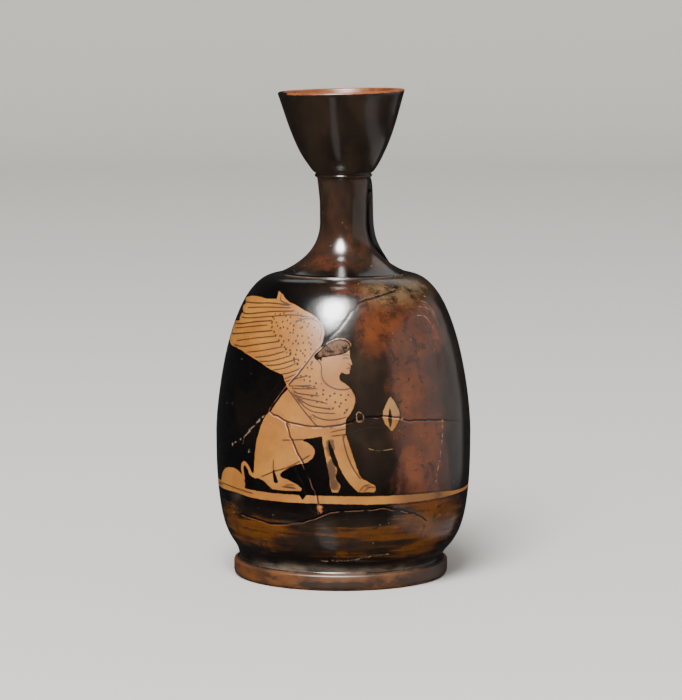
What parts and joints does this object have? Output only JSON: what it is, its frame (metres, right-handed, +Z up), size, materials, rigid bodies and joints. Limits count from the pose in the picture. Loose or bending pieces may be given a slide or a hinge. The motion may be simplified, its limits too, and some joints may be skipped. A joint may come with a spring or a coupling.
{
  "type": "lekythos",
  "caption": "Squat Greek oil flask of fired clay: hollow round body on a ring foot, narrow neck, cup-shaped mouth, strap handle and a painted seated sphinx.",
  "frame": {"origin": "on the axis of the body, at the height of the surface that the ring foot stands on", "axes": "+Z up along the axis of the vessel, -Y towards the painted front, +Y towards the handle"},
  "size_m": [0.0738, 0.0738, 0.1404],
  "materials": {
    "glossed_clay": "black gloss over orange fired clay, worn and partly misfired to red-brown"
  },
  "bodies": {
    "root": {"vessel": "glossed_clay"}
  },
  "joints": []
}
